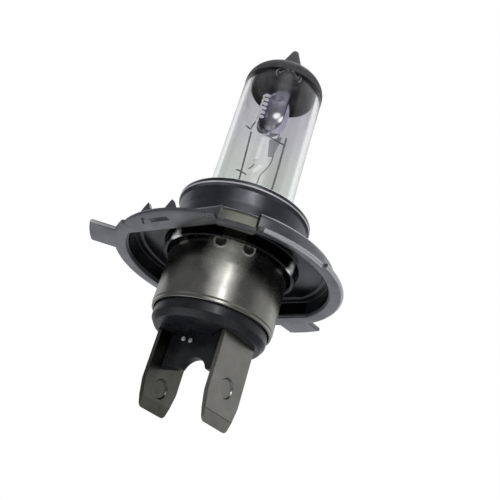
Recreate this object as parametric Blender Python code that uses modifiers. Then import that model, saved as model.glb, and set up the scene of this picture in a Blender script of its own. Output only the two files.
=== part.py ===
"""Headlight bulb with two filaments in a clear glass envelope and a pre-focused metal base.

The bulb lies along its optical axis as it does in a lamp: the glass tip points to -Y, the
contact blades to +Y and the wide reference lug to +Z. The origin is where the axis crosses
the reference plane, the plane in which the three lugs of the flange seat.

Every piece is drawn round a +Z axis, with the glass tip at +Z and the reference lug at +Y,
and hangs from one empty that lays the bulb down.
"""
import math

import bmesh
import bpy
from mathutils import Matrix, Vector

MM = 0.001

# Flange: a dish of sheet metal whose rim carries the lugs.
SHEET = 0.8 * MM
SKIRT_RADIUS = 19.0 * MM
RIM_RADIUS = 21.1 * MM
PLATE_RADIUS = 20.7 * MM
PLATE_HALF_ANGLE = 26.0
TRIMMED_RIM_RADIUS = 20.4 * MM
LUG_WIDTH = 7.0 * MM
LUGS = ((43.5, 25.6 * MM), (263.0, 24.4 * MM))
DISH_HEIGHT = 3.4 * MM
FLAT_DISTANCE = 15.8 * MM
REFERENCE_ANGLE = 90.0
NOTCH_ANGLE = 130.0
NOTCH_HALF_ANGLE = 9.6
NOTCH_DEPTH = 1.1 * MM
TRIMMED_SPAN = 48.0
FAR_FLAT_ANGLE = 268.0
FAR_FLAT_DISTANCE = 17.9 * MM
NECK_RADIUS = 11.75 * MM
LANCE_HEIGHT = 1.7 * MM
LANCE_SPACING = 5.2 * MM
LANCE_DISTANCE = 20.0 * MM
LANCE_SLOT_SIZE = (4.0 * MM, 1.1 * MM, 3 * MM)
LANCE_SLOT_PLACE = (0.8 * MM, 18.5 * MM, 0)
LANCE_SLIT_SIZE = (0.7 * MM, 2.0 * MM, 3 * MM)
LANCE_SLIT_PLACE = (4.2 * MM, 18.5 * MM, 0)
LANCE_SLIT_TURN = 35.0

# Collar: the turned cup round the foot of the glass.
COLLAR_TOP = 11.7 * MM
COLLAR_RADIUS = 12.55 * MM
COLLAR_WAIST_RADIUS = 11.6 * MM
COLLAR_WALL = 0.45 * MM
COLLAR_BEAD = 0.55 * MM
HOLDER_WALL = 0.35 * MM
HOLDER_TOP = 9.2 * MM

# Cap shell and insulator.
SHELL_RADIUS = 10.8 * MM
SHELL_WALL = 0.5 * MM
SHELL_BOTTOM = -10.6 * MM
SHELL_TOP = 2.2 * MM
WELD_LEVEL = 0.2 * MM
WELD_HALF_ANGLE = 13.0
WELD_TOOL_RADIUS = 1.3 * MM
WELD_DEPTH = 0.38 * MM
INSULATOR_RADIUS = 10.1 * MM
INSULATOR_CHAMFER = (0.75 * MM, 1.1 * MM)
INSULATOR_TOP = -8.6 * MM
INSULATOR_BOTTOM = -13.4 * MM
WEB_BOTTOM = -19.4 * MM
WEB_ARCH_TOP = -17.4 * MM
WEB_ARCH_RADIUS = 2.95 * MM
WEB_MIDDLE = 0.9 * MM
WEB_THICKNESS = 1.7 * MM
PIN_RADIUS = 0.45 * MM
PIN_PLACES = ((3.1 * MM, -14.3 * MM), (1.4 * MM, -14.6 * MM))

# Contact blades.
BLADE_OFFSET = 7.0 * MM
BLADE_WIDTH = 8.5 * MM
BLADE_THICKNESS = 0.8 * MM
BLADE_TIPS = (-28.3 * MM, -27.0 * MM)
BLADE_ROOT = -7.4 * MM
BLADE_CORNER = 4.6 * MM
BLADE_TIP_WIDTH = 6.4 * MM
BLADE_LEAD_IN = 2.0 * MM
DETENT_LEVELS = (-21.9 * MM, -22.8 * MM)
DETENT_RADIUS = 1.75 * MM
DETENT_DEPTH = 0.28 * MM
LEAD_IN_SLOPE = 7.5

# Glass envelope.
GLASS_RADIUS = 8.1 * MM
GLASS_WALL = 1.15 * MM
GLASS_BOTTOM = 5.2 * MM
GLASS_SHOULDER = 41.7 * MM
DOME_HEIGHT = 4.9 * MM
DOME_SPAN = 68.0
TIP_END = 53.0 * MM
TIP_TAPER = ((2.2 * MM, 4.3 * MM), (1.35 * MM, 2.1 * MM), (0.65 * MM, 0.3 * MM))
COATING_EDGE = 41.2 * MM
COATING_THICKNESS = 0.12 * MM
PINCH_WIDTH = 12.0 * MM
PINCH_THICKNESS = 4.0 * MM
PINCH_BOTTOM = -5.5 * MM
PINCH_TOP = 6.6 * MM
GLASS_MOUTH_RADIUS = 6.45 * MM
FOIL_SIZE = (2.2 * MM, 0.12 * MM, 5.0 * MM)
FOIL_SLOT_SIZE = (2.6 * MM, 0.9 * MM, 30.0 * MM)
CLAMP_HEIGHT = 5.0 * MM
CLAMP_MIDDLE = -2.2 * MM
CLAMP_WALL = 0.35 * MM
CLAMP_CLEARANCE = 0.15 * MM

# Filaments, shield and the wires that carry them.
DIPPED_BOTTOM = 32.2 * MM
DIPPED_TOP = 38.6 * MM
DIPPED_CENTRE = (1.0 * MM, 3.2 * MM)
MAIN_BOTTOM = 22.9 * MM
MAIN_TOP = 28.5 * MM
MAIN_CENTRE = (-0.05 * MM, 1.75 * MM)
COIL_RADIUS = 0.55 * MM
COIL_WIRE = 0.11 * MM
DIPPED_TURNS = 9
MAIN_TURNS = 11
SHIELD_CENTRE = 1.2 * MM
SHIELD_RADIUS = 3.1 * MM
SHIELD_BOTTOM = 30.0 * MM
SHIELD_TOP = 40.8 * MM
SHIELD_SHEET = 0.25 * MM
TAIL_LEVEL = -1.95 * MM
POST_RADIUS = 0.3 * MM
COMMON_POST_RADIUS = 0.2 * MM
CROSS_WIRE_RADIUS = 0.17 * MM
LEG_RADIUS = 0.12 * MM
SLEEVE_RADIUS = 0.36 * MM
POST_FOOT = 3.0
FOIL_SPACING = 4.0 * MM

GAP = 0.08 * MM
MERGE = 1e-7
ROUND_STEPS = 48


def start_scene():
    """Empty the scene and make the collections and the empty that lays the bulb down."""
    for old in list(bpy.data.objects):
        bpy.data.objects.remove(old, do_unlink=True)
    bulb = bpy.data.collections.new("headlight_bulb")
    cutters = bpy.data.collections.new("cutters")
    bpy.context.scene.collection.children.link(bulb)
    bpy.context.scene.collection.children.link(cutters)
    axis = bpy.data.objects.new("bulb_axis", None)
    axis.rotation_euler = (math.radians(90), 0, 0)
    bulb.objects.link(axis)
    return bulb, cutters, axis


BULB, CUTTERS, AXIS = start_scene()


def material(name, colour, roughness, metallic=0.0, transmission=0.0):
    """One Principled material."""
    result = bpy.data.materials.new(name)
    result.use_nodes = True
    shader = result.node_tree.nodes["Principled BSDF"]
    shader.inputs["Base Color"].default_value = (*colour, 1)
    shader.inputs["Roughness"].default_value = roughness
    shader.inputs["Metallic"].default_value = metallic
    shader.inputs["Transmission Weight"].default_value = transmission
    return result


ZINC = material("zinc_plated_steel", (0.33, 0.34, 0.36), 0.32, 1.0)
NICKEL = material("satin_nickel", (0.42, 0.42, 0.39), 0.3, 1.0)
BLADE_METAL = material("tin_plated_brass", (0.36, 0.36, 0.33), 0.38, 1.0)
BLACK_PLASTIC = material("black_plastic", (0.012, 0.013, 0.015), 0.42)
GLASS = material("clear_quartz", (0.93, 0.95, 0.93), 0.02, 0.0, 1.0)
COATING = material("matte_dark_coating", (0.02, 0.02, 0.024), 0.6)
MOLYBDENUM = material("molybdenum", (0.3, 0.3, 0.32), 0.25, 1.0)
TUNGSTEN = material("tungsten", (0.45, 0.45, 0.47), 0.3, 1.0)


def point(x, y, z):
    """A point given in millimetres."""
    return Vector((x * MM, y * MM, z * MM))


def polar(radius, degrees, z=0.0):
    """A point at a radius and an angle about the bulb's axis."""
    angle = math.radians(degrees)
    return Vector((radius * math.cos(angle), radius * math.sin(angle), z))


def add(name, data, surface):
    """Hang a piece of the bulb from the axis."""
    piece = bpy.data.objects.new(name, data)
    piece.data.materials.append(surface)
    piece.parent = AXIS
    BULB.objects.link(piece)
    return piece


def mesh_of(name, bm):
    """Turn a bmesh into a smooth-shaded mesh with its sharp edges kept."""
    mesh = bpy.data.meshes.new(name)
    bm.to_mesh(mesh)
    bm.free()
    mesh.shade_smooth()
    mesh.set_sharp_from_angle(angle=math.radians(35))
    return mesh


def turned(name, profile, surface, angle=360.0, steps=ROUND_STEPS, closed=True):
    """A profile of (radius, height) points turned about the Z axis."""
    bm = bmesh.new()
    verts = [bm.verts.new((radius, 0, height)) for radius, height in profile]
    for first, second in zip(verts, verts[1:]):
        bm.edges.new((first, second))
    if closed:
        bm.edges.new((verts[-1], verts[0]))
    mesh = bpy.data.meshes.new(name)
    bm.to_mesh(mesh)
    bm.free()
    piece = add(name, mesh, surface)
    screw = piece.modifiers.new("turn", "SCREW")
    screw.angle = math.radians(angle)
    screw.steps = steps
    screw.render_steps = steps
    screw.use_merge_vertices = angle == 360.0
    screw.merge_threshold = MERGE
    screw.use_smooth_shade = True
    return piece


def wire(name, points, radius, surface, resolution=2):
    """A round wire through a list of points."""
    curve = bpy.data.curves.new(name, "CURVE")
    curve.dimensions = "3D"
    curve.bevel_depth = radius
    curve.bevel_resolution = resolution
    curve.use_fill_caps = True
    spline = curve.splines.new("POLY")
    spline.points.add(len(points) - 1)
    for target, source in zip(spline.points, points):
        target.co = (*source, 1)
    return add(name, curve, surface)


def plate(name, outline, low, high, surface):
    """A flat outline of (x, y) points, extruded from one height to another, as a mesh."""
    bm = bmesh.new()
    verts = [bm.verts.new((x, y, low)) for x, y in outline]
    face = bm.faces.new(verts)
    lifted = bmesh.ops.extrude_face_region(bm, geom=[face])["geom"]
    moved = [item for item in lifted if isinstance(item, bmesh.types.BMVert)]
    bmesh.ops.translate(bm, verts=moved, vec=(0, 0, high - low))
    bmesh.ops.recalc_face_normals(bm, faces=bm.faces)
    return add(name, mesh_of(name, bm), surface)


def block(name, size, centre, surface, turn=0.0):
    """A box from its size and centre, turned about Z by some degrees."""
    bm = bmesh.new()
    bmesh.ops.create_cube(bm, size=1.0)
    bmesh.ops.scale(bm, verts=bm.verts, vec=size)
    spin = Matrix.Rotation(math.radians(turn), 3, "Z")
    bmesh.ops.rotate(bm, verts=bm.verts, cent=(0, 0, 0), matrix=spin)
    bmesh.ops.translate(bm, verts=bm.verts, vec=centre)
    return add(name, mesh_of(name, bm), surface)


def ball(name, radius, centre, surface, scale=(1, 1, 1)):
    """A small sphere, flattened by a scale."""
    bm = bmesh.new()
    bmesh.ops.create_uvsphere(bm, u_segments=16, v_segments=10, radius=radius)
    bmesh.ops.scale(bm, verts=bm.verts, vec=scale)
    bmesh.ops.translate(bm, verts=bm.verts, vec=centre)
    return add(name, mesh_of(name, bm), surface)


def as_cutter(piece):
    """Move a piece to the cutters, which only shape other pieces."""
    BULB.objects.unlink(piece)
    CUTTERS.objects.link(piece)
    piece.hide_render = True
    piece.display_type = "WIRE"
    return piece


def boolean(piece, tool, operation="DIFFERENCE"):
    """Cut a piece by a tool, or join the tool to it."""
    modifier = piece.modifiers.new(tool.name, "BOOLEAN")
    modifier.operation = operation
    modifier.object = as_cutter(tool)
    modifier.solver = "EXACT"


def bevel(piece, width, segments=2, angle=40.0):
    """Round the sharp edges of a piece."""
    modifier = piece.modifiers.new("round", "BEVEL")
    modifier.width = width
    modifier.segments = segments
    modifier.limit_method = "ANGLE"
    modifier.angle_limit = math.radians(angle)


def helix(centre, bottom, top, radius, turns, per_turn):
    """Points along a coil about a line parallel to the bulb's axis."""
    count = int(turns * per_turn)
    points = []
    for index in range(count + 1):
        angle = 2 * math.pi * index / per_turn
        height = bottom + (top - bottom) * index / count
        across = centre[0] + radius * math.cos(angle)
        up = centre[1] + radius * math.sin(angle)
        points.append(Vector((across, up, height)))
    return points


# ---------------------------------------------------------------- flange

def turn_between(first, second):
    """The signed angle from the second direction to the first, in degrees."""
    return (first - second + 180.0) % 360.0 - 180.0


def skirt_radius(angle):
    """The skirt's outer outline: a circle with a flat by the reference lug and one notch."""
    radius = SKIRT_RADIUS
    from_flat = math.radians(abs(turn_between(angle, REFERENCE_ANGLE)))
    if math.cos(from_flat) * SKIRT_RADIUS > FLAT_DISTANCE:
        radius = FLAT_DISTANCE / math.cos(from_flat)
    from_far_flat = math.radians(abs(turn_between(angle, FAR_FLAT_ANGLE)))
    if math.cos(from_far_flat) * SKIRT_RADIUS > FAR_FLAT_DISTANCE:
        radius = FAR_FLAT_DISTANCE / math.cos(from_far_flat)
    if abs(turn_between(angle, NOTCH_ANGLE)) < NOTCH_HALF_ANGLE:
        radius = SKIRT_RADIUS - NOTCH_DEPTH
    return radius


def rim_radius(angle):
    """The rim's outline: two narrow lugs, and a trimmed side beside the wide lug."""
    radius = RIM_RADIUS
    if abs(turn_between(angle, REFERENCE_ANGLE)) < PLATE_HALF_ANGLE:
        radius = PLATE_RADIUS
    if NOTCH_ANGLE - NOTCH_HALF_ANGLE < angle < NOTCH_ANGLE + TRIMMED_SPAN:
        radius = TRIMMED_RIM_RADIUS
    if abs(turn_between(angle, NOTCH_ANGLE)) < NOTCH_HALF_ANGLE:
        radius = TRIMMED_RIM_RADIUS - NOTCH_DEPTH
    for lug, tip in LUGS:
        aside = math.radians(abs(turn_between(angle, lug)))
        if aside < math.asin(LUG_WIDTH / 2 / tip) + 1e-6:
            radius = tip
        elif aside < math.asin(LUG_WIDTH / 2 / RIM_RADIUS):
            radius = max(RIM_RADIUS, LUG_WIDTH / 2 / math.sin(aside))
    return radius


def flange_angles():
    """Directions round the flange, closer together where its outline turns a corner."""
    corner = math.degrees(math.acos(FLAT_DISTANCE / SKIRT_RADIUS))
    lug_foot = math.degrees(math.asin(LUG_WIDTH / 2 / RIM_RADIUS))
    marks = [REFERENCE_ANGLE - corner, NOTCH_ANGLE + TRIMMED_SPAN]
    for side in (-1, 1):
        marks += [NOTCH_ANGLE + side * (NOTCH_HALF_ANGLE - 0.3), NOTCH_ANGLE + side * (NOTCH_HALF_ANGLE + 0.6)]
        for lug, tip in LUGS:
            lug_tip = math.degrees(math.asin(LUG_WIDTH / 2 / tip))
            marks += [lug + side * lug_tip, lug + side * lug_foot]
    even = [5.0 * step for step in range(72)]
    even = [angle for angle in even if all(abs(turn_between(angle, mark)) > 1.5 for mark in marks)]
    return sorted(angle % 360.0 for angle in even + marks)


def flange_section(angle):
    """The sheet's middle line along one direction, from the neck out to the rim."""
    wall = skirt_radius(angle) - SHEET / 2
    top = DISH_HEIGHT - SHEET / 2
    seat = -SHEET / 2
    return [
        (NECK_RADIUS, 0.9 * MM),
        (NECK_RADIUS, top - 0.9 * MM),
        (NECK_RADIUS + 0.3 * MM, top - 0.3 * MM),
        (NECK_RADIUS + 0.9 * MM, top),
        (wall - 0.8 * MM, top),
        (wall - 0.2 * MM, top - 0.2 * MM),
        (wall, top - 0.8 * MM),
        (wall, seat + 0.5 * MM),
        (wall + 0.5 * MM, seat),
        (max(rim_radius(angle), wall + 0.9 * MM), seat),
    ]


def make_flange():
    """The stamped flange: neck, dish, skirt, rim, lugs, punched slots and two lances."""
    bm = bmesh.new()
    columns = []
    for angle in flange_angles():
        columns.append([bm.verts.new(polar(radius, angle, height)) for radius, height in flange_section(angle)])
    for here, following in zip(columns, columns[1:] + columns[:1]):
        for ring in range(len(here) - 1):
            bm.faces.new((here[ring], here[ring + 1], following[ring + 1], following[ring]))
    flange = add("flange_ring", mesh_of("flange_ring", bm), ZINC)
    sheet = flange.modifiers.new("sheet", "SOLIDIFY")
    sheet.thickness = SHEET
    sheet.offset = 0
    slot = block("lance_slot", LANCE_SLOT_SIZE, Vector(LANCE_SLOT_PLACE), ZINC)
    boolean(flange, slot)
    slit = block("lance_slit", LANCE_SLIT_SIZE, Vector(LANCE_SLIT_PLACE), ZINC, LANCE_SLIT_TURN)
    boolean(flange, slit)
    for side in (-1, 1):
        bm = bmesh.new()
        bmesh.ops.create_cone(bm, cap_ends=True, segments=4, radius1=1.35 * MM, radius2=0.08 * MM,
                              depth=LANCE_HEIGHT)
        bmesh.ops.rotate(bm, verts=bm.verts, cent=(0, 0, 0), matrix=Matrix.Rotation(math.radians(45), 3, "Z"))
        bmesh.ops.scale(bm, verts=bm.verts, vec=(1, 0.45, 1.1))
        centre = Vector((side * LANCE_SPACING / 2, LANCE_DISTANCE, LANCE_HEIGHT / 2 - 0.15 * MM))
        bmesh.ops.translate(bm, verts=bm.verts, vec=centre)
        boolean(flange, add("lance_%d" % (side + 2), mesh_of("lance", bm), ZINC), "UNION")


# ---------------------------------------------------------------- collar, shell, insulator

def make_collar():
    """The cup on the flange with a waist and a rolled top edge."""
    wall = COLLAR_WALL
    foot = DISH_HEIGHT + GAP
    bead = COLLAR_BEAD
    outer = [
        (COLLAR_RADIUS - bead, COLLAR_TOP),
        (COLLAR_RADIUS - 0.1 * MM, COLLAR_TOP - 0.2 * MM),
        (COLLAR_RADIUS, COLLAR_TOP - bead),
        (COLLAR_RADIUS - 0.1 * MM, COLLAR_TOP - 1.0 * MM),
        (COLLAR_WAIST_RADIUS + 0.1 * MM, COLLAR_TOP - 1.7 * MM),
        (COLLAR_WAIST_RADIUS - 0.1 * MM, COLLAR_TOP - 4.0 * MM),
        (COLLAR_WAIST_RADIUS + 0.3 * MM, foot + 1.2 * MM),
        (COLLAR_RADIUS + 0.6 * MM, foot + wall),
        (COLLAR_RADIUS + 1.8 * MM, foot + wall),
        (COLLAR_RADIUS + 1.8 * MM, foot),
        (COLLAR_WAIST_RADIUS, foot),
    ]
    inner = [
        (COLLAR_WAIST_RADIUS - wall - 0.2 * MM, foot + 1.2 * MM),
        (COLLAR_WAIST_RADIUS - wall - 0.4 * MM, COLLAR_TOP - 4.0 * MM),
        (COLLAR_WAIST_RADIUS - wall, COLLAR_TOP - 1.2 * MM),
        (COLLAR_WAIST_RADIUS - wall + 0.1 * MM, COLLAR_TOP - 0.2 * MM),
    ]
    turned("collar_ring", outer + inner, ZINC)


def make_glass_holder():
    """The spring cup inside the collar that grips the foot of the glass."""
    wall = HOLDER_WALL
    bore = GLASS_RADIUS + 0.15 * MM
    rim = COLLAR_WAIST_RADIUS - COLLAR_WALL - 0.5 * MM
    low = DISH_HEIGHT + 0.5 * MM
    profile = [
        (bore + wall, HOLDER_TOP),
        (bore + wall, low + 0.6 * MM),
        (rim, low + 0.4 * MM),
        (rim, low),
        (bore, low),
        (bore, HOLDER_TOP),
    ]
    turned("glass_holder", profile, NICKEL)


def make_shell():
    """The cap shell, a tube welded into the neck, with pairs of weld dimples."""
    inside = SHELL_RADIUS - SHELL_WALL
    profile = [
        (SHELL_RADIUS, SHELL_TOP),
        (SHELL_RADIUS, SHELL_BOTTOM + 0.5 * MM),
        (SHELL_RADIUS - 0.15 * MM, SHELL_BOTTOM + 0.1 * MM),
        (SHELL_RADIUS - 0.35 * MM, SHELL_BOTTOM),
        (inside, SHELL_BOTTOM + 0.1 * MM),
        (inside, SHELL_TOP),
    ]
    shell = turned("cap_shell", profile, NICKEL)
    for third in range(3):
        for side in (-1, 1):
            angle = NOTCH_ANGLE + 120 * third + side * WELD_HALF_ANGLE
            centre = polar(SHELL_RADIUS + WELD_TOOL_RADIUS - WELD_DEPTH, angle, WELD_LEVEL)
            boolean(shell, ball("weld_%d_%d" % (third, side + 2), WELD_TOOL_RADIUS, centre, NICKEL))


def make_insulator():
    """The moulded insulator: a round body with slots for the blades, and an arched web between them."""
    profile = [
        (0, INSULATOR_TOP),
        (INSULATOR_RADIUS - 0.3 * MM, INSULATOR_TOP),
        (INSULATOR_RADIUS, INSULATOR_TOP - 0.3 * MM),
        (INSULATOR_RADIUS, INSULATOR_BOTTOM + INSULATOR_CHAMFER[1]),
        (INSULATOR_RADIUS - INSULATOR_CHAMFER[0], INSULATOR_BOTTOM),
        (0, INSULATOR_BOTTOM),
    ]
    insulator = turned("insulator", profile, BLACK_PLASTIC, closed=False)
    for side in (-1, 1):
        slot = (BLADE_THICKNESS + 2 * GAP, BLADE_WIDTH + 2 * GAP, 12 * MM)
        centre = Vector((side * BLADE_OFFSET, 0, -10 * MM))
        boolean(insulator, block("slot_%d" % (side + 2), slot, centre, BLACK_PLASTIC))
    for index in (-1, 0, 1):
        size = (1.4 * MM, 1.4 * MM, 4 * MM)
        hole = Vector((index * FOIL_SPACING, 0, INSULATOR_TOP))
        boolean(insulator, block("lead_pocket_%d" % (index + 2), size, hole, BLACK_PLASTIC))
    half = BLADE_OFFSET - BLADE_THICKNESS / 2 - GAP
    arch_centre = WEB_ARCH_TOP - WEB_ARCH_RADIUS
    outline = [(half, INSULATOR_BOTTOM + 0.5 * MM), (-half, INSULATOR_BOTTOM + 0.5 * MM), (-half, WEB_BOTTOM)]
    for step in range(13):
        angle = math.radians(160.0 - 140.0 * step / 12)
        outline.append((WEB_ARCH_RADIUS * math.cos(angle), arch_centre + WEB_ARCH_RADIUS * math.sin(angle)))
    outline.insert(3, (-WEB_ARCH_RADIUS, WEB_BOTTOM))
    outline.append((WEB_ARCH_RADIUS, WEB_BOTTOM))
    outline.append((half, WEB_BOTTOM))
    web = plate("web", outline, -WEB_THICKNESS / 2, WEB_THICKNESS / 2, BLACK_PLASTIC)
    web.data.transform(Matrix(((1, 0, 0, 0), (0, 0, -1, WEB_MIDDLE), (0, 1, 0, 0), (0, 0, 0, 1))))
    boolean(insulator, web, "UNION")


def make_blade(name, side):
    """A spade contact with a tapered tip and a detent dimple in each face."""
    half = BLADE_WIDTH / 2
    tip = BLADE_TIPS[0] if side < 0 else BLADE_TIPS[1]
    level = DETENT_LEVELS[0] if side < 0 else DETENT_LEVELS[1]
    half_tip = BLADE_TIP_WIDTH / 2
    outline = [
        (half, BLADE_ROOT),
        (half, tip + BLADE_CORNER),
        (half_tip, tip),
        (-half_tip, tip),
        (-half, tip + BLADE_CORNER),
        (-half, BLADE_ROOT),
    ]
    blade = plate(name, outline, -BLADE_THICKNESS / 2, BLADE_THICKNESS / 2, BLADE_METAL)
    upright = Matrix(((0, 0, 1, side * BLADE_OFFSET), (1, 0, 0, 0), (0, 1, 0, 0), (0, 0, 0, 1)))
    blade.data.transform(upright)
    for face in (-1, 1):
        bm = bmesh.new()
        bmesh.ops.create_cone(bm, cap_ends=True, segments=20, radius1=0.8 * DETENT_RADIUS,
                              radius2=1.3 * DETENT_RADIUS, depth=DETENT_DEPTH * 2.4)
        turn = Matrix.Rotation(math.radians(90 * face), 4, "Y")
        bmesh.ops.transform(bm, verts=bm.verts, matrix=turn)
        shift = side * BLADE_OFFSET + face * (BLADE_THICKNESS / 2 + DETENT_DEPTH * 0.2)
        bmesh.ops.translate(bm, verts=bm.verts, vec=(shift, 0, level))
        boolean(blade, add("%s_detent_%d" % (name, face + 2), mesh_of("detent", bm), BLADE_METAL))
        wedge_size = (BLADE_THICKNESS, 2 * BLADE_WIDTH, 2.4 * BLADE_LEAD_IN)
        wedge = block("%s_lead_in_%d" % (name, face + 2), wedge_size, Vector((0, 0, 0)), BLADE_METAL)
        wedge.data.transform(Matrix.Translation((face * BLADE_THICKNESS / 2, 0, -1.2 * BLADE_LEAD_IN)))
        wedge.data.transform(Matrix.Rotation(math.radians(face * LEAD_IN_SLOPE), 4, "Y"))
        place = (side * BLADE_OFFSET + face * BLADE_THICKNESS / 2, 0, tip + BLADE_LEAD_IN)
        wedge.data.transform(Matrix.Translation(place))
        boolean(blade, wedge)


# ---------------------------------------------------------------- glass

def dome_profile(outset, count=6):
    """The outside of the dome and its sealed-off tip, from the shoulder to the axis."""
    points = []
    for index in range(count + 1):
        angle = math.radians(DOME_SPAN * index / count)
        radius = (GLASS_RADIUS + outset) * math.cos(angle)
        height = GLASS_SHOULDER + (DOME_HEIGHT + outset) * math.sin(angle)
        points.append((radius, height))
    end = TIP_END - COATING_THICKNESS + outset
    for radius, below_end in TIP_TAPER:
        points.append((radius + outset, end - below_end))
    points.append((0, end))
    return points


def make_glass():
    """The clear tubular envelope with its dome and sealed-off tip, open at the pinch."""
    outer = list(reversed(dome_profile(-GAP)))
    outer += [(GLASS_RADIUS - GAP, GLASS_BOTTOM + 2.0 * MM), (GLASS_RADIUS - 0.8 * MM, GLASS_BOTTOM + 0.5 * MM)]
    outer += [(GLASS_RADIUS - 1.3 * MM, GLASS_BOTTOM)]
    bore = GLASS_RADIUS - GLASS_WALL
    inner = [(GLASS_MOUTH_RADIUS, GLASS_BOTTOM), (GLASS_MOUTH_RADIUS, GLASS_BOTTOM + 1.4 * MM)]
    inner.append((bore, GLASS_BOTTOM + 2.8 * MM))
    for index in range(9):
        angle = math.radians(90.0 * index / 8)
        height = GLASS_SHOULDER + (DOME_HEIGHT - GLASS_WALL) * math.sin(angle)
        inner.append((max(0, bore * math.cos(angle)) if index < 8 else 0, height))
    turned("glass_envelope", outer + inner, GLASS, closed=False)


def make_coating():
    """The opaque anti-glare cap over the dome, a thin skin just off the glass."""
    outer = list(reversed(dome_profile(COATING_THICKNESS)))
    outer.append((GLASS_RADIUS + COATING_THICKNESS, COATING_EDGE))
    inner = [(GLASS_RADIUS, COATING_EDGE)] + dome_profile(0)
    turned("anti_glare_cap", outer + inner, COATING, closed=False)


def make_pinch():
    """The flat pinch seal under the envelope, with one slot for each foil and its wires."""
    height = PINCH_TOP - PINCH_BOTTOM
    centre = Vector((0, 0, (PINCH_TOP + PINCH_BOTTOM) / 2))
    pinch = block("pinch_seal", (PINCH_WIDTH, PINCH_THICKNESS, height), centre, GLASS)
    bevel(pinch, 0.5 * MM)
    for index in (-1, 0, 1):
        slot = block("foil_slot_%d" % (index + 2), FOIL_SLOT_SIZE, centre, GLASS)
        slot.data.transform(Matrix.Translation((index * FOIL_SPACING, 0, 0)))
        boolean(pinch, slot)
        foil_centre = Vector((index * FOIL_SPACING, 0, 0))
        names = ("main_beam", "common", "dipped_beam")
        block("%s_foil" % names[index + 1], FOIL_SIZE, foil_centre, MOLYBDENUM)


def make_pinch_clamp():
    """The sheet band that clasps the pinch inside the shell."""
    width = PINCH_WIDTH + 2 * CLAMP_CLEARANCE
    depth = PINCH_THICKNESS + 2 * CLAMP_CLEARANCE
    centre = Vector((0, 0, CLAMP_MIDDLE))
    size = (width + 2 * CLAMP_WALL, depth + 2 * CLAMP_WALL, CLAMP_HEIGHT)
    clamp = block("pinch_clamp", size, centre, NICKEL)
    boolean(clamp, block("clamp_bore", (width, depth, 2 * CLAMP_HEIGHT), centre, NICKEL))


# ---------------------------------------------------------------- filaments and wires

def make_filaments():
    """The dipped-beam coil ahead of the main-beam coil, both along the axis."""
    dipped = helix(DIPPED_CENTRE, DIPPED_BOTTOM, DIPPED_TOP, COIL_RADIUS, DIPPED_TURNS, 10)
    wire("dipped_beam_filament", dipped, COIL_WIRE, TUNGSTEN)
    main = helix(MAIN_CENTRE, MAIN_BOTTOM, MAIN_TOP, COIL_RADIUS - 0.1 * MM, MAIN_TURNS, 9)
    wire("main_beam_filament", main, COIL_WIRE, TUNGSTEN)


def make_shield():
    """The boat-shaped dip shield: half a capsule of thin sheet, open toward the wide lug."""
    middle_low = SHIELD_BOTTOM + SHIELD_RADIUS
    middle_high = SHIELD_TOP - 0.6 * SHIELD_RADIUS
    profile = []
    for index in range(7):
        angle = math.radians(86.0 - 86.0 * index / 6)
        profile.append((SHIELD_RADIUS * math.cos(angle), middle_high + 0.6 * SHIELD_RADIUS * math.sin(angle)))
    for index in range(7):
        angle = math.radians(86.0 * index / 6)
        profile.append((SHIELD_RADIUS * math.cos(angle), middle_low - SHIELD_RADIUS * math.sin(angle)))
    shield = turned("dip_shield", profile, MOLYBDENUM, angle=-180.0, steps=16, closed=False)
    shield.location = (0, SHIELD_CENTRE, 0)
    sheet = shield.modifiers.new("sheet", "SOLIDIFY")
    sheet.thickness = SHIELD_SHEET
    sheet.offset = 0
    tail = [(1.3 * MM, 31.0 * MM), (0.45 * MM, 26.6 * MM), (-0.45 * MM, 26.6 * MM), (-1.3 * MM, 31.0 * MM)]
    strap = plate("shield_tail", tail, -SHIELD_SHEET / 2, SHIELD_SHEET / 2, MOLYBDENUM)
    strap.data.transform(Matrix(((1, 0, 0, 0), (0, 0, -1, TAIL_LEVEL), (0, 1, 0, 0), (0, 0, 0, 1))))


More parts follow.
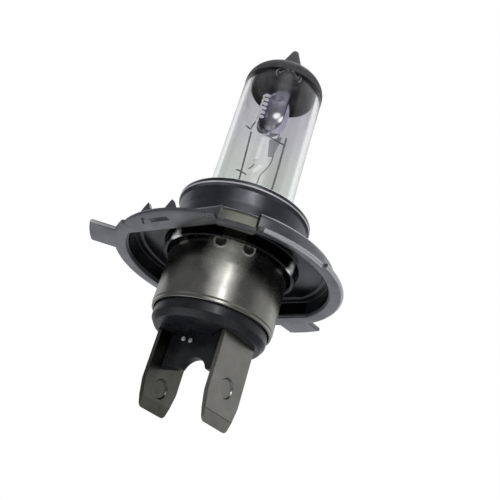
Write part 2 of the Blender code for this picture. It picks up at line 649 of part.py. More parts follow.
def make_wires():
    """Posts, cross wires and leads between the pinch, the filaments and the contacts."""
    wire("dipped_beam_post", [point(4, 0, POST_FOOT), point(4, 0, 10),
                              point(4.4, -0.1, 19.5), point(5.1, 0.3, 32.0)],
         POST_RADIUS, MOLYBDENUM)
    wire("common_post", [point(0, 0, POST_FOOT), point(0, 0, 12), point(-0.3, -0.3, 19.5),
                         point(-0.3, -0.3, 21.2),
                         point(-1.1, -1.1, 23.1), point(-0.4, -2.45, 26.4), point(0, -2.45, 37.5)],
         COMMON_POST_RADIUS, MOLYBDENUM)
    wire("main_beam_post", [point(-4, 0, POST_FOOT), point(-4, 0, 12), point(-4.5, 0, 17.2),
                            point(-4.35, 0.15, 28.6)],
         POST_RADIUS, MOLYBDENUM)
    wire("dipped_beam_cross_wire", [point(5.9, 1.6, 32.9), point(4.7, 0.9, 32.1), point(3.3, 2.4, 31.2),
                                    point(1.8, 3.2, 31.6)], CROSS_WIRE_RADIUS, MOLYBDENUM)
    wire("main_beam_cross_wire", [point(-4.9, 0.45, 26.6), point(-3.1, 1.4, 27.4), point(-0.8, 1.75, 28.9)],
         CROSS_WIRE_RADIUS, MOLYBDENUM)
    wire("dipped_post_stub", [point(5.3, 0.75, 22.4), point(4.3, 0.6, 22.1), point(3.7, -0.75, 22.0)],
         CROSS_WIRE_RADIUS, MOLYBDENUM)
    wire("main_filament_leg", [point(0.45, 1.45, 22.5), point(0.8, 1.2, 22.1), point(1.7, 1.1, 21.8)],
         LEG_RADIUS, MOLYBDENUM)
    wire("filament_sleeve", [point(1.2, 0.3, 21.5), point(-0.3, 0.1, 22.9)], SLEEVE_RADIUS, MOLYBDENUM)
    wire("main_beam_lead", [point(-4, 0, -3.2), point(-4, 0, -7.0),
                            point(-5.2, 0, -8.2)], POST_RADIUS, NICKEL)
    wire("dipped_beam_lead", [point(4, 0, -3.2), point(4, 0, -7.0),
                              point(5.2, 0, -8.2)], POST_RADIUS, NICKEL)
    wire("common_lead", [point(0, 0, -3.2), point(0, 0, -7.2), point(0, 4, -7.8), point(0, 9.6, -7.8)],
         POST_RADIUS, NICKEL)


def make_stakes():
    """Two small bright staked pins on the web's face, just under the insulator's body."""
    face = WEB_MIDDLE + WEB_THICKNESS / 2
    stand = 0.7 * PIN_RADIUS + GAP / 2
    for index, (x, level) in enumerate(PIN_PLACES):
        centre = Vector((x, face + stand, level))
        ball("staked_pin_%d" % (index + 1), PIN_RADIUS, centre, NICKEL, (1, 0.7, 1))


make_flange()
make_collar()
make_glass_holder()
make_shell()
make_insulator()
make_blade("contact_blade_main", -1)
make_blade("contact_blade_dipped", 1)
make_glass()
make_coating()
make_pinch()
make_pinch_clamp()
make_filaments()
make_shield()
make_wires()
make_stakes()
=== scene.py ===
"""The headlight bulb's looks: materials, finer meshes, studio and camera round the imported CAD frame.

Pieces are drawn round a +Z axis with the glass tip at +Z and the wide reference lug at +Y, as the
bulb's own drawing has them, and laid down into the row frame when they are finished.
"""
import math

import bmesh
import bpy
from mathutils import Matrix, Vector


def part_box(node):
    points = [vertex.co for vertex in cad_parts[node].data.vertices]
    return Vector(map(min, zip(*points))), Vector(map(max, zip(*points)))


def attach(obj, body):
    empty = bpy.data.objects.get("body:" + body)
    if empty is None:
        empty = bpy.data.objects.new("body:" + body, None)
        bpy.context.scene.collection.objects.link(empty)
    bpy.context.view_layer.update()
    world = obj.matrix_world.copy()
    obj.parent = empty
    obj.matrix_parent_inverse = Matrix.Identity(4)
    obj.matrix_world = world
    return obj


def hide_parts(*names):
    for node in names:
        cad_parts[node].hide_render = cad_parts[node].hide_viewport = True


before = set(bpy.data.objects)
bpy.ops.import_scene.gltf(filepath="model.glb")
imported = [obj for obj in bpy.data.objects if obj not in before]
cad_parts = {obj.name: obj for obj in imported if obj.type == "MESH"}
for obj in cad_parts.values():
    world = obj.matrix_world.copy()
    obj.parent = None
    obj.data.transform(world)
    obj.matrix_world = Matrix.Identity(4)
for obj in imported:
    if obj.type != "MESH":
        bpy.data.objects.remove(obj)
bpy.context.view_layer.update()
MM = 0.001
LAY_DOWN = Matrix.Rotation(math.radians(90), 4, "X")

# Camera: the photographed view, from the base end and above, rolled so that the glass stands up.
CAMERA_PLACE = (-0.0790, 0.0521, 0.0862)
CAMERA_FORWARD = (0.59070, -0.44047, -0.67606)
CAMERA_UP = (-0.05958, -0.85938, 0.50786)
CAMERA_LENS = 51.49
FLOOR_HEIGHT = -0.40
FLOOR_HALF_SIZE = 6.0

# The glass changes from its greenish tint to a lilac painted shade between these distances from the
# reference plane.
TINT_START = 22 * MM
TINT_END = 32 * MM


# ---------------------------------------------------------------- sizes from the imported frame

def reach(node, axis, end):
    """How far a node reaches in the bulb's own axes: 0 and 1 across, 2 along; end 0 low, 1 high."""
    low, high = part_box(node)
    if axis == 0:
        return (low, high)[end].x
    if axis == 1:
        return (low, high)[end].z
    return -(high, low)[end].y


SHELL_RADIUS = reach("cap_shell", 0, 1)
SHELL_BOTTOM = reach("cap_shell", 2, 0)
SHELL_TOP = reach("cap_shell", 2, 1)
GLASS_RADIUS = reach("glass_envelope", 0, 1)
GLASS_BOTTOM = reach("glass_envelope", 2, 0)
TIP_END = reach("anti_glare_cap", 2, 1)
COATING_EDGE = reach("anti_glare_cap", 2, 0)
COLLAR_RADIUS = 12.55 * MM
COLLAR_TOP = reach("collar_ring", 2, 1)
COLLAR_FOOT = reach("collar_ring", 2, 0)
DISH_TOP = reach("flange_ring", 2, 1)
SHEET = -reach("flange_ring", 2, 0)
INSULATOR_RADIUS = reach("insulator", 0, 1)
WEB_BOTTOM = reach("insulator", 2, 0)
BLADE_OUT = reach("contact_blade_dipped", 0, 1)
BLADE_IN = reach("contact_blade_dipped", 0, 0)
BLADE_HALF = reach("contact_blade_dipped", 1, 1)


# ---------------------------------------------------------------- materials

def node_material(name):
    """A new node material, its node tree and its Principled shader."""
    material = bpy.data.materials.new(name)
    material.use_nodes = True
    tree = material.node_tree
    return material, tree, tree.nodes["Principled BSDF"]


def noise(tree, scale, detail=3.0, stretch=(1, 1, 1)):
    """A noise value over the object's own coordinates, in noise cells per metre."""
    coords = tree.nodes.new("ShaderNodeTexCoord")
    mapping = tree.nodes.new("ShaderNodeMapping")
    mapping.inputs["Scale"].default_value = stretch
    texture = tree.nodes.new("ShaderNodeTexNoise")
    texture.inputs["Scale"].default_value = scale
    texture.inputs["Detail"].default_value = detail
    tree.links.new(coords.outputs["Object"], mapping.inputs["Vector"])
    tree.links.new(mapping.outputs["Vector"], texture.inputs["Vector"])
    return texture.outputs["Fac"]


def spread(tree, value, low, high, start=0.3, end=0.7):
    """Map a value from start..end to low..high."""
    node = tree.nodes.new("ShaderNodeMapRange")
    node.inputs["From Min"].default_value = start
    node.inputs["From Max"].default_value = end
    node.inputs["To Min"].default_value = low
    node.inputs["To Max"].default_value = high
    tree.links.new(value, node.inputs["Value"])
    return node.outputs["Result"]


def blend_colours(tree, value, first, second):
    """Two colours mixed by a value."""
    node = tree.nodes.new("ShaderNodeMix")
    node.data_type = "RGBA"
    node.inputs["A"].default_value = (*first, 1)
    node.inputs["B"].default_value = (*second, 1)
    tree.links.new(value, node.inputs["Factor"])
    return node.outputs["Result"]


def bump(tree, shader, value, distance, strength=1.0):
    """Relief from a value, as deep as distance."""
    node = tree.nodes.new("ShaderNodeBump")
    node.inputs["Distance"].default_value = distance
    node.inputs["Strength"].default_value = strength
    tree.links.new(value, node.inputs["Height"])
    tree.links.new(node.outputs["Normal"], shader.inputs["Normal"])


def metal(name, dark, light, rough_low, rough_high,
          scale=260.0, grain=9000.0, metallic=1.0, relief=0.002 * MM, glow=0.0):
    """A plated metal with slow stains, fine grain and a little relief; glow, where given, is a painted
    glow.
    """
    material, tree, shader = node_material(name)
    colour = blend_colours(tree, spread(tree, noise(tree, scale, 4.0), 0.0, 1.0), dark, light)
    tree.links.new(colour, shader.inputs["Base Color"])
    handled = spread(tree, noise(tree, 2.2 * scale, 5.0), rough_low, rough_high)
    tree.links.new(handled, shader.inputs["Roughness"])
    shader.inputs["Metallic"].default_value = metallic
    shader.inputs["Emission Color"].default_value = (1, 1, 1, 1)
    shader.inputs["Emission Strength"].default_value = glow
    bump(tree, shader, noise(tree, grain, 2.0), relief, 0.6)
    return material


def paint_light(material, points, reach_mm, shade, metallic, full_mm=0.0):
    """Paint light on a metal: it turns paler and less mirror-like round some points of the bulb, given in
    its own axes.

    The change is full up to full_mm from a point and fades out at reach_mm. Returns its strength.
    """
    tree = material.node_tree
    shader = tree.nodes["Principled BSDF"]
    coords = tree.nodes.new("ShaderNodeTexCoord")
    nearest = None
    for spot in points:
        away = tree.nodes.new("ShaderNodeVectorMath")
        away.operation = "DISTANCE"
        away.inputs[1].default_value = LAY_DOWN @ spot
        tree.links.new(coords.outputs["Object"], away.inputs[0])
        near = spread(tree, away.outputs["Value"], 1.0, 0.0, full_mm * MM, reach_mm * MM)
        if nearest is None:
            nearest = near
        else:
            most = tree.nodes.new("ShaderNodeMath")
            most.operation = "MAXIMUM"
            tree.links.new(nearest, most.inputs[0])
            tree.links.new(near, most.inputs[1])
            nearest = most.outputs["Value"]
    mixed = tree.nodes.new("ShaderNodeMix")
    mixed.data_type = "RGBA"
    mixed.inputs["B"].default_value = (*shade, 1)
    before = shader.inputs["Base Color"].links[0].from_socket
    tree.links.new(before, mixed.inputs["A"])
    tree.links.new(nearest, mixed.inputs["Factor"])
    tree.links.new(mixed.outputs["Result"], shader.inputs["Base Color"])
    chosen = spread(tree, nearest, 1.0, metallic, 0.0, 1.0)
    if shader.inputs["Metallic"].links:
        least = tree.nodes.new("ShaderNodeMath")
        least.operation = "MINIMUM"
        tree.links.new(shader.inputs["Metallic"].links[0].from_socket, least.inputs[0])
        tree.links.new(chosen, least.inputs[1])
        chosen = least.outputs["Value"]
    tree.links.new(chosen, shader.inputs["Metallic"])
    return nearest


def around(radius, degrees, level):
    """A point given in millimetres from the axis, by bearing and by level."""
    bearing = math.radians(degrees)
    return Vector((radius * math.cos(bearing), radius * math.sin(bearing), level)) * MM


def plastic(name):
    """Black moulded plastic with a fine spark-eroded grain."""
    material, tree, shader = node_material(name)
    shades = ((0.006, 0.0065, 0.008), (0.014, 0.015, 0.018))
    colour = blend_colours(tree, spread(tree, noise(tree, 500.0), 0, 1), *shades)
    tree.links.new(colour, shader.inputs["Base Color"])
    tree.links.new(spread(tree, noise(tree, 900.0), 0.26, 0.36), shader.inputs["Roughness"])
    shader.inputs["Specular IOR Level"].default_value = 0.4
    shader.inputs["Coat Weight"].default_value = 0.12
    shader.inputs["Coat Roughness"].default_value = 0.22
    shader.inputs["Coat IOR"].default_value = 1.7
    bump(tree, shader, noise(tree, 5000.0), 0.006 * MM, 0.5)
    return material


def glass(name, dark, light, tip_shade_dark, tip_shade_light):
    """Clear quartz glass with faint draw lines, turning from a greenish tint to a lilac grey toward the
    tip, which is painted shade.
    """
    material, tree, shader = node_material(name)
    streaks = spread(tree, noise(tree, 170.0, 3.0, (1, 0.06, 1)), 0.0, 1.0, 0.38, 0.62)
    below = blend_colours(tree, streaks, dark, light)
    above = blend_colours(tree, streaks, tip_shade_dark, tip_shade_light)
    coords = tree.nodes.new("ShaderNodeTexCoord")
    split = tree.nodes.new("ShaderNodeSeparateXYZ")
    tree.links.new(coords.outputs["Object"], split.inputs["Vector"])
    upward = spread(tree, split.outputs["Y"], 0.0, 1.0, -TINT_START, -TINT_END)
    mixed = tree.nodes.new("ShaderNodeMix")
    mixed.data_type = "RGBA"
    tree.links.new(upward, mixed.inputs["Factor"])
    tree.links.new(below, mixed.inputs["A"])
    tree.links.new(above, mixed.inputs["B"])
    tree.links.new(mixed.outputs["Result"], shader.inputs["Base Color"])
    tree.links.new(spread(tree, noise(tree, 300.0), 0.0, 0.015), shader.inputs["Roughness"])
    shader.inputs["Transmission Weight"].default_value = 1.0
    shader.inputs["IOR"].default_value = 1.45
    bump(tree, shader, noise(tree, 260.0, 2.0, (1, 0.04, 1)), 0.01 * MM, 0.3)
    return material


def coating(name, dark=(0.030, 0.030, 0.034), light=(0.062, 0.060, 0.064)):
    """The matte dark paint on the dome, faintly mottled."""
    material, tree, shader = node_material(name)
    colour = blend_colours(tree, spread(tree, noise(tree, 400.0), 0, 1), dark, light)
    tree.links.new(colour, shader.inputs["Base Color"])
    tree.links.new(spread(tree, noise(tree, 700.0), 0.42, 0.6), shader.inputs["Roughness"])
    bump(tree, shader, noise(tree, 2500.0), 0.01 * MM, 0.5)
    return material


ZINC = metal("zinc_plate", (0.25, 0.255, 0.27), (0.36, 0.365, 0.385), 0.24, 0.34)
# A darker copy of the plate for the pocket under the dish: painted shade.
POCKET_SHADE = metal("pocket_painted_shade", (0.05, 0.052, 0.058), (0.13, 0.132, 0.14), 0.16, 0.24, 160.0)
COLLAR = metal("collar_plate", (0.11, 0.112, 0.125), (0.17, 0.172, 0.19), 0.26, 0.36)
NICKEL = metal("satin_nickel", (0.34, 0.335, 0.305), (0.44, 0.43, 0.395), 0.22, 0.30)
BLADE = metal("tinned_blade", (0.33, 0.325, 0.30), (0.42, 0.41, 0.38), 0.26, 0.36)
# A darker copy of the blade metal for the dipped blade: painted shade.
SHADED_BLADE = metal("blade_painted_shade", (0.15, 0.15, 0.13), (0.22, 0.215, 0.19), 0.26, 0.36)
WIRE = metal("polished_wire", (0.32, 0.32, 0.34), (0.46, 0.46, 0.49), 0.14, 0.24, metallic=0.3)
SHIELD = metal("shield_metal", (0.58, 0.56, 0.68), (0.70, 0.68, 0.80), 0.12, 0.18)
# The coils and the crimp sleeve are near white and glow a little, though the bulb is off: painted highlight
# and painted glow.
FILAMENT_GLOW = metal("filament_painted_glow", (0.90, 0.90, 0.93), (1.0, 1.0, 1.0), 0.15, 0.25, metallic=0.2, glow=0.28)
SLEEVE_GLOW = metal("sleeve_painted_glow", (0.97, 0.97, 0.96), (1.0, 1.0, 1.0), 0.14, 0.2, metallic=0.0, glow=0.55)
TAIL = metal("tail_metal", (0.62, 0.61, 0.66), (0.78, 0.77, 0.82), 0.25, 0.35, metallic=0.0)
# A near-white copy of the plate for two rings on the collar's rolled edge: painted highlight.
COLLAR_RIM_HIGHLIGHT = metal("collar_rim_painted_highlight", (0.55, 0.555, 0.57), (1.0, 1.0, 1.0), 0.14, 0.22, 160.0, metallic=0.6)
# A bright copy of the plate for the outer rim edge on one side only: partly the sheared edge's own
# brightness, partly painted highlight.
SHEARED_EDGE_AND_HIGHLIGHT = metal("sheared_edge_and_painted_highlight", (0.50, 0.505, 0.52), (0.70, 0.71, 0.74), 0.2, 0.3, 100.0,
             metallic=0.7, relief=0.001 * MM)
# A darker, warmer copy of the plate for the notch wall: painted shade.
NOTCH_SHADE = metal("notch_painted_shade", (0.15, 0.152, 0.125), (0.24, 0.24, 0.20), 0.26, 0.34)
# Darker metal for the weld dimples' middles, painted shade, and a pale one for their raised rims, painted
# highlight.
DIMPLE_SHADE = metal("weld_dimple_painted_shade", (0.16, 0.16, 0.145), (0.28, 0.28, 0.25), 0.12, 0.18, metallic=0.85)
WELD_RIM_HIGHLIGHT = metal("weld_rim_painted_highlight", (0.55, 0.55, 0.50), (0.90, 0.90, 0.85), 0.15, 0.22, 700.0, metallic=0.7)
BLACK = plastic("black_plastic")
# A near-black copy of the plate for the neck: painted shade; pale crescents of painted highlight are added
# on it below.
NECK_SHADE_AND_HIGHLIGHT = metal("neck_painted_shade_and_highlight", (0.035, 0.036, 0.04), (0.06, 0.062, 0.07), 0.2, 0.3)
CLEAR = glass("quartz_glass", (0.83, 0.85, 0.835), (0.90, 0.915, 0.905),
              (0.82, 0.82, 0.84), (0.90, 0.90, 0.915))
# A darker copy of the glass for its inner faces: painted shade.
BORE_SHADE = glass("quartz_bore_painted_shade", (0.52, 0.545, 0.51), (0.74, 0.76, 0.73),
             (0.50, 0.485, 0.54), (0.73, 0.725, 0.755))
PAINT = coating("dome_paint")
PAINT_INSIDE = coating("dome_paint_inside", (0.004, 0.004, 0.006), (0.012, 0.012, 0.017))
PAINT_INSIDE.node_tree.nodes["Principled BSDF"].inputs["Specular IOR Level"].default_value = 0.15

# Painted light at fixed places on the metal, the same from every side: a painted sheen on the shell under
# the weld dimples, two painted highlight crescents on the neck, and a pale lavender patch and two glints
# painted on the shield.
SHELL_PAINTED_SHEEN = [around(10.8, 128, -2.6), around(10.8, 130, -0.8)]
NECK_PAINTED_CRESCENTS = [around(12.2, 76, 0.7), around(12.2, 72, 0.2),
                  around(12.2, 192, 1.2), around(12.2, 190, 0.2)]
SHIELD_PAINTED_LIGHT = [around(1.9, 290, 38.6), around(2.1, 285, 36.6)]
SHIELD_PAINTED_GLINTS = [Vector((1.2, -1.55, 36.8)) * MM, Vector((0.0, -1.85, 35.8)) * MM]
GLINT_PAINTED_GLOW = 0.9

paint_light(NICKEL, SHELL_PAINTED_SHEEN, 4.6, (0.75, 0.75, 0.68), 0.45)
paint_light(NECK_SHADE_AND_HIGHLIGHT, NECK_PAINTED_CRESCENTS, 1.5, (0.9, 0.9, 0.9), 0.3, 0.5)
paint_light(SHIELD, SHIELD_PAINTED_LIGHT, 3.6, (0.60, 0.585, 0.72), 0.35)
# The two glints on the shield are painted highlights that also glow.
painted_glint = paint_light(SHIELD, SHIELD_PAINTED_GLINTS, 1.05, (1.0, 1.0, 1.0), 0.0, 0.45)
SHIELD.node_tree.links.new(spread(SHIELD.node_tree, painted_glint, 0.0, GLINT_PAINTED_GLOW, 0.0, 1.0),
                           SHIELD.node_tree.nodes["Principled BSDF"].inputs["Emission Strength"])

# Finishes of the CAD nodes that are carried over; any other one is a polished wire.
FINISHES = {"glass_holder": NICKEL, "pinch_seal": CLEAR, "pinch_clamp": NICKEL}


# ---------------------------------------------------------------- modelling helpers

def shaded(bm, name, angle=32.0):
    """Turn a bmesh into a smooth-shaded mesh with its sharp edges kept."""
    bmesh.ops.recalc_face_normals(bm, faces=bm.faces)
    mesh = bpy.data.meshes.new(name)
    bm.to_mesh(mesh)
    bm.free()
    mesh.shade_smooth()
    mesh.set_sharp_from_angle(angle=math.radians(angle))
    return mesh


def piece(name, mesh, material, node, *more_materials):
    """Lay a mesh down into the row frame as a piece that stands for a CAD node."""
    mesh.transform(LAY_DOWN)
    mesh.materials.clear()
    for surface in (material, *more_materials):
        mesh.materials.append(surface)
    made = bpy.data.objects.new(name, mesh)
    bpy.context.scene.collection.objects.link(made)
    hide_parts(node)
    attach(made, "root")
    return made


def fillet(corners, count=5):
    """A profile whose corners (radius, height, rounding) are replaced by arcs."""
    points = []
    last = len(corners) - 1
    for index, (x, y, rounding) in enumerate(corners):
        here = Vector((x, y))
        if rounding <= 0 or index in (0, last):
            points.append((x, y))
            continue
        before = Vector(corners[index - 1][:2]) - here
        after = Vector(corners[index + 1][:2]) - here
        turn = before.angle(after)
        if turn > math.radians(178):
            points.append((x, y))
            continue
        cut = min(rounding / math.tan(turn / 2), 0.49 * before.length, 0.49 * after.length)
        start, end = here + before.normalized() * cut, here + after.normalized() * cut
        for step in range(count + 1):
            t = step / count
            spot = (1 - t) ** 2 * start + 2 * t * (1 - t) * here + t * t * end
            points.append((spot.x, spot.y))
    return points


def stitch(bm, sections, following_sections, closed=True):
    """Faces between each section and the one that follows it."""
    for here, following in zip(sections, following_sections):
        count = len(here)
        for index in range(count if closed else count - 1):
            other = (index + 1) % count
            bm.faces.new((here[index], here[other], following[other], following[index]))


def lathe(profile, steps=192, closed=True):
    """A bmesh of a profile turned about the bulb's axis."""
    bm = bmesh.new()
    rings = []
    for step in range(steps):
        angle = 2 * math.pi * step / steps
        rings.append([bm.verts.new((r * math.cos(angle), r * math.sin(angle), z)) for r, z in profile])
    stitch(bm, rings, rings[1:] + rings[:1], closed)
    bmesh.ops.remove_doubles(bm, verts=bm.verts, dist=1e-7)
    return bm


def sheet_section(centre_line, thickness, closed_ends=3):
    """The closed outline of a bent sheet round its middle line, with rounded ends."""
    points = [Vector(p) for p in centre_line]
    left, right = [], []
    for index, here in enumerate(points):
        before = points[max(0, index - 1)]
        after = points[min(len(points) - 1, index + 1)]
        along = (after - before).normalized()
        across = Vector((-along.y, along.x)) * thickness / 2
        left.append(here + across)
        right.append(here - across)
    outline = [(p.x, p.y) for p in left]
    for middle, start in ((points[-1], left[-1]), (points[0], right[0])):
        arm = start - middle
        if middle is points[0]:
            outline += [(p.x, p.y) for p in reversed(right)]
        for step in range(1, closed_ends + 1):
            angle = -math.pi * step / (closed_ends + 1)
            spot = middle + Matrix.Rotation(angle, 2) @ arm
            outline.append((spot.x, spot.y))
    return outline


def tube(points, radius, sides, round_off=0):
    """A bmesh of a round wire through points, with closed ends."""
    path = [Vector(p) for p in points]
    for smoothing in range(round_off):
        finer = [path[0]]
        for first, second in zip(path, path[1:]):
            finer += [first.lerp(second, 0.25), first.lerp(second, 0.75)]
        path = finer + [path[-1]]
    bm = bmesh.new()
    rings = []
    normal = None
    for index, here in enumerate(path):
        along = (path[min(index + 1, len(path) - 1)] - path[max(index - 1, 0)]).normalized()
        if normal is None:
            normal = along.orthogonal().normalized()
        normal = (normal - along * normal.dot(along)).normalized()
        side = along.cross(normal)
        ring = []
        for step in range(sides):
            angle = 2 * math.pi * step / sides
            ring.append(bm.verts.new(here + radius * (math.cos(angle) * normal + math.sin(angle) * side)))
        rings.append(ring)
    stitch(bm, rings, rings[1:])
    bm.faces.new(rings[0])
    bm.faces.new(rings[-1])
    return bm


def prism(outline, low, high, matrix):
    """A bmesh of a flat outline between two heights, placed by a matrix."""
    bm = bmesh.new()
    bottom = [bm.verts.new((x, y, low)) for x, y in outline]
    top = [bm.verts.new((x, y, high)) for x, y in outline]
    bm.faces.new(bottom)
    bm.faces.new(top)
    for index in range(len(outline)):
        other = (index + 1) % len(outline)
        bm.faces.new((bottom[index], bottom[other], top[other], top[index]))
    bmesh.ops.recalc_face_normals(bm, faces=bm.faces)
    bmesh.ops.transform(bm, verts=bm.verts, matrix=matrix)
    return bm


def joined(*parts):
    """Several bmeshes as one."""
    whole = bmesh.new()
    for part in parts:
        held = bpy.data.meshes.new("part")
        part.to_mesh(held)
        part.free()
        whole.from_mesh(held)
        bpy.data.meshes.remove(held)
    return whole


def carved(bm, cutters, bevel=0.0, angle=35.0, sharp=32.0):
    """A bmesh with cutters taken away, then its sharp edges rounded."""
    body = bpy.data.objects.new("carving", shaded(bm, "carving"))
    bpy.context.scene.collection.objects.link(body)
    tools = []
    for cutter in cutters:
        tool = bpy.data.objects.new("tool", shaded(cutter, "tool"))
        bpy.context.scene.collection.objects.link(tool)
        cut = body.modifiers.new("cut", "BOOLEAN")
        cut.object = tool
        cut.solver = "EXACT"
        tools.append(tool)
    if bevel:
        rounding = body.modifiers.new("round", "BEVEL")
        rounding.width = bevel
        rounding.segments = 2
        rounding.limit_method = "ANGLE"
        rounding.angle_limit = math.radians(angle)
    bpy.context.view_layer.update()
    mesh = bpy.data.meshes.new_from_object(body.evaluated_get(bpy.context.evaluated_depsgraph_get()))
    for thing in [body] + tools:
        data = thing.data
        bpy.data.objects.remove(thing)
        bpy.data.meshes.remove(data)
    mesh.shade_smooth()
    mesh.set_sharp_from_angle(angle=math.radians(sharp))
    return mesh


def box_bm(size, centre, turn=0.0):
    """A box cutter, turned about the axis by some degrees."""
    bm = bmesh.new()
    bmesh.ops.create_cube(bm, size=1.0)
    bmesh.ops.scale(bm, verts=bm.verts, vec=size)
    spin = Matrix.Rotation(math.radians(turn), 3, "Z")
    bmesh.ops.rotate(bm, verts=bm.verts, cent=(0, 0, 0), matrix=spin)
    bmesh.ops.translate(bm, verts=bm.verts, vec=centre)
    return bm


def at(x, y, z):
    """A point given in millimetres."""
    return Vector((x * MM, y * MM, z * MM))


# ---------------------------------------------------------------- flange

SKIRT_RADIUS = 19.0 * MM
RIM_RADIUS = 21.1 * MM
PLATE_RADIUS = 20.7 * MM
PLATE_HALF_ANGLE = 26.0
TRIMMED_RIM_RADIUS = 20.4 * MM
LUGS = ((43.5, 25.6 * MM), (263.0, 24.4 * MM))
LUG_HALF_WIDTH = 3.5 * MM
FLAT_DISTANCE = 15.8 * MM
REFERENCE_ANGLE = 90.0
NOTCH_ANGLE = 130.0
NOTCH_HALF_ANGLE = 9.6
NOTCH_DEPTH = 1.1 * MM
TRIMMED_END = NOTCH_ANGLE + 48.0
FAR_FLAT_ANGLE = 268.0
FAR_FLAT_DISTANCE = 17.9 * MM
NECK_RADIUS = 11.75 * MM
LANCE_HALF_SPACING = 2.6
LANCE_DISTANCE = 19.9
SLOT_SIZE = (4.0 * MM, 1.1 * MM, 3 * MM)
SLIT_SIZE = (0.7 * MM, 2.0 * MM, 3 * MM)
SLIT_TURN = 35.0
# The outer rim edge between these bearings gets a bright copy of the plate, partly painted highlight.
EDGE_HIGHLIGHT_FROM = TRIMMED_END - 36.0
EDGE_HIGHLIGHT_TO = 238.0


def turn_between(first, second):
    """The signed angle from the second direction to the first, in degrees."""
    return (first - second + 180.0) % 360.0 - 180.0


def skirt_radius(angle):
    """The skirt's outline: a circle with a flat by the reference lug and one notch."""
    radius = SKIRT_RADIUS
    from_flat = math.radians(abs(turn_between(angle, REFERENCE_ANGLE)))
    if math.cos(from_flat) * SKIRT_RADIUS > FLAT_DISTANCE:
        radius = FLAT_DISTANCE / math.cos(from_flat)
    from_far_flat = math.radians(abs(turn_between(angle, FAR_FLAT_ANGLE)))
    if math.cos(from_far_flat) * SKIRT_RADIUS > FAR_FLAT_DISTANCE:
        radius = FAR_FLAT_DISTANCE / math.cos(from_far_flat)
    if abs(turn_between(angle, NOTCH_ANGLE)) < NOTCH_HALF_ANGLE:
        radius = SKIRT_RADIUS - NOTCH_DEPTH
    return radius


def rim_radius(angle):
    """The rim's outline: two narrow lugs, and a trimmed side beside the wide lug."""
    radius = RIM_RADIUS
    if abs(turn_between(angle, REFERENCE_ANGLE)) < PLATE_HALF_ANGLE:
        radius = PLATE_RADIUS
    if NOTCH_ANGLE - NOTCH_HALF_ANGLE < angle < TRIMMED_END:
        radius = TRIMMED_RIM_RADIUS
    if abs(turn_between(angle, NOTCH_ANGLE)) < NOTCH_HALF_ANGLE:
        radius = TRIMMED_RIM_RADIUS - NOTCH_DEPTH
    for lug, tip in LUGS:
        aside = math.radians(abs(turn_between(angle, lug)))
        if aside < math.asin(LUG_HALF_WIDTH / tip) + 1e-6:
            radius = tip
        elif aside < math.asin(LUG_HALF_WIDTH / RIM_RADIUS):
            radius = max(RIM_RADIUS, LUG_HALF_WIDTH / math.sin(aside))
    return radius


def flange_angles():
    """Directions round the flange, closer together where its outline turns a corner."""
    flat_corner = math.degrees(math.acos(FLAT_DISTANCE / SKIRT_RADIUS))
    marks = [REFERENCE_ANGLE - flat_corner, REFERENCE_ANGLE + flat_corner]
    marks += [TRIMMED_END - 0.2, TRIMMED_END + 0.4]
    for side in (-1, 1):
        marks.append(REFERENCE_ANGLE + side * (PLATE_HALF_ANGLE - 0.2))
        marks.append(REFERENCE_ANGLE + side * (PLATE_HALF_ANGLE + 0.5))
        marks.append(NOTCH_ANGLE + side * (NOTCH_HALF_ANGLE - 0.3))
        marks.append(NOTCH_ANGLE + side * (NOTCH_HALF_ANGLE + 0.5))
        for lug, tip in LUGS:
            tip_angle = math.degrees(math.asin(LUG_HALF_WIDTH / tip))
            foot_angle = math.degrees(math.asin(LUG_HALF_WIDTH / RIM_RADIUS))
            for aside in (tip_angle, (tip_angle + foot_angle) / 2, foot_angle):
                marks.append(lug + side * aside)
    even = [1.5 * step for step in range(240)]
    even = [angle for angle in even if all(abs(turn_between(angle, mark)) > 0.4 for mark in marks)]
    return sorted(angle % 360.0 for angle in even + marks)


def flange_section(angle):
    """The closed section of the stamped sheet along one direction."""
    wall = skirt_radius(angle) - SHEET / 2
    top = DISH_TOP - SHEET / 2
    seat = -SHEET / 2
    rim = max(rim_radius(angle), wall + 0.9 * MM)
    line = fillet([
        (NECK_RADIUS, 0.75 * MM, 0),
        (NECK_RADIUS, 1.5 * MM, 0.3 * MM),
        (NECK_RADIUS + 0.25 * MM, top, 0.9 * MM),
        (wall - 1.9 * MM, top, 0.3 * MM),
        (wall - 1.5 * MM, top - 0.25 * MM, 0.3 * MM),
        (wall, top - 0.3 * MM, 0.7 * MM),
        (wall, seat, 0.45 * MM),
        (rim - SHEET / 2, seat, 0),
    ])
    return sheet_section(line, SHEET)


def lance(side):
    """One upright pointed tooth near the outer edge of the wide lug."""
    outline = [
        (-1.15 * MM, 0), (1.15 * MM, 0),
        (0.35 * MM, 1.35 * MM), (0.05 * MM, 1.7 * MM), (-0.3 * MM, 1.3 * MM),
    ]
    place = at(LANCE_HALF_SPACING * side, LANCE_DISTANCE, -0.1)
    stand = Matrix.Translation(place) @ Matrix.Rotation(math.radians(90), 4, "X")
    return prism(outline, -0.3 * MM, 0.3 * MM, stand)


